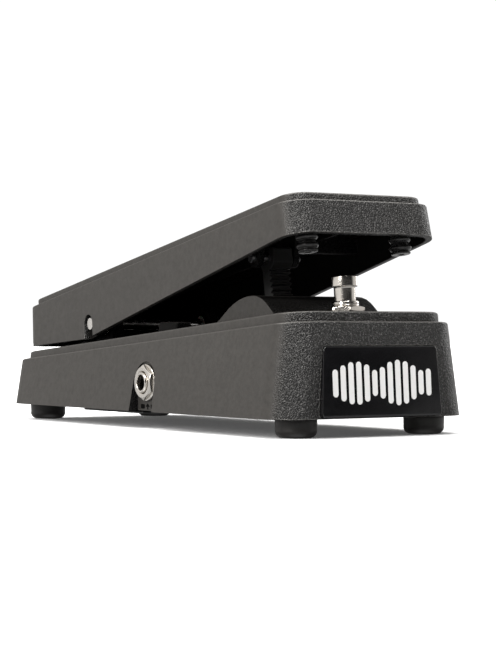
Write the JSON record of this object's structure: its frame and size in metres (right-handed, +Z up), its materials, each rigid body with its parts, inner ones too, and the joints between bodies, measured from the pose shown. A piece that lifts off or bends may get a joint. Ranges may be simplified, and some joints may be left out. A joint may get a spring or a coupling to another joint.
{
  "type": "guitar effects pedal",
  "caption": "Rocker treadle effects pedal: cast base on rubber feet, hinged footboard driving a rack and pinion control, toe foot switch, side jacks and battery door.",
  "frame": {"origin": "on the floor, under the middle of the whole pedal's bounding box, which is the middle of the base casing to within half a millimetre", "axes": "+Z up; +Y from the toe end to the heel end of the base; +X to the output side, so the input jack is on the -X side"},
  "size_m": [0.0996, 0.2554, 0.1012],
  "materials": {
    "casing_paint": "fine crinkle texture paint on cast metal, satin warm charcoal, coarser at the toe faces",
    "plate_paint": "black satin paint on sheet steel",
    "tread_rubber": "moulded ribbed rubber mat, dull",
    "rubber": "moulded rubber, dull black",
    "badge_gloss": null,
    "nickel": "nickel plate, slightly warm",
    "steel": "zinc plated steel",
    "black_plastic": "moulded, fine grain",
    "dark_acetal": "moulded acetal, dark grey, slight sheen",
    "white_nylon": "natural nylon",
    "circuit_board": "green solder mask",
    "switch_case": "moulded, blue",
    "electrolytic_sleeve": "shrink sleeve, blue",
    "film_dip": "epoxy dip",
    "ferrite": "unglazed ferrite",
    "battery_case": "printed steel jacket, plain",
    "red_insulation": "wire insulation"
  },
  "bodies": {
    "base": {"base_shell": "casing_paint", "bottom_plate": "plate_paint", "foot_front_left": "rubber", "foot_front_right": "rubber", "foot_rear_left": "rubber", "foot_rear_right": "rubber", "heel_bumper_left": "rubber", "heel_bumper_right": "rubber", "badge_plate": "badge_gloss", "input_jack_washer": "nickel", "input_jack_nut": "nickel", "input_jack_bushing": "nickel", "output_jack_washer": "nickel", "output_jack_nut": "nickel", "output_jack_bushing": "nickel", "footswitch_bushing": "nickel", "footswitch_nut": "nickel", "footswitch_washer": "steel", "foot_screw_front_left": "steel", "foot_screw_front_right": "steel", "foot_screw_rear_left": "steel", "foot_screw_rear_right": "steel", "control_body": "steel", "control_nut": "steel", "gear_bracket": "steel", "bracket_screw_rear": "steel", "bracket_screw_front": "steel", "guide_spring": "steel", "board_screw_front": "steel", "board_screw_rear": "steel", "input_jack_body": "black_plastic", "output_jack_body": "black_plastic", "dc_jack": "black_plastic", "battery_snap": "black_plastic", "battery_wire_black": "black_plastic", "rack_guide": "white_nylon", "pivot_bush_left": "white_nylon", "pivot_bush_right": "white_nylon", "main_board": "circuit_board", "footswitch_body": "switch_case", "electrolytic_capacitor": "electrolytic_sleeve", "film_capacitor": "film_dip", "inductor": "ferrite", "battery": "battery_case", "battery_wire_red": "red_insulation"},
    "treadle": {"treadle_shell": "casing_paint", "treadle_mat": "tread_rubber", "pivot_axle": "nickel", "axle_clip_left": "steel", "axle_clip_right": "steel", "rack_pin": "steel", "toe_bumper_left": "rubber", "toe_bumper_right": "rubber", "switch_pad": "rubber"},
    "rack": {"rack": "dark_acetal"},
    "pinion": {"pinion": "dark_acetal", "control_shaft": "steel"},
    "plunger": {"footswitch_plunger": "nickel"},
    "battery_door": {"battery_door": "black_plastic"}
  },
  "joints": [
    {"name": "treadle_tilt", "type": "hinge", "parent": "base", "child": "treadle", "pos_m": [0, 0.05724, 0.0475], "axis": [1, 0, 0], "range_deg": [0, 8.5]},
    {"name": "rack_slide", "type": "slide", "parent": "base", "child": "rack", "axis": [0, 0.1675, 0.9859], "range_m": [-0.0176, 0]},
    {"name": "pinion_spin", "type": "hinge", "parent": "base", "child": "pinion", "pos_m": [0, -0.07194, 0.0435], "axis": [1, 0, 0], "range_deg": [-158, 0]},
    {"name": "footswitch_press", "type": "slide", "parent": "base", "child": "plunger", "axis": [0, 0.0778, 0.997], "range_m": [-0.0025, 0], "stiffness_N_per_m": 6000, "springref_m": 0.001},
    {"name": "battery_door_swing", "type": "hinge", "parent": "base", "child": "battery_door", "pos_m": [-0.013, 0.02189, 0.0071], "axis": [0, -1, 0], "range_deg": [0, 95]}
  ],
  "couplings": [
    {"joint": "rack_slide", "follows": "treadle_tilt", "m_per_rad": -0.11774},
    {"joint": "pinion_spin", "follows": "treadle_tilt", "ratio": -18.397}
  ]
}
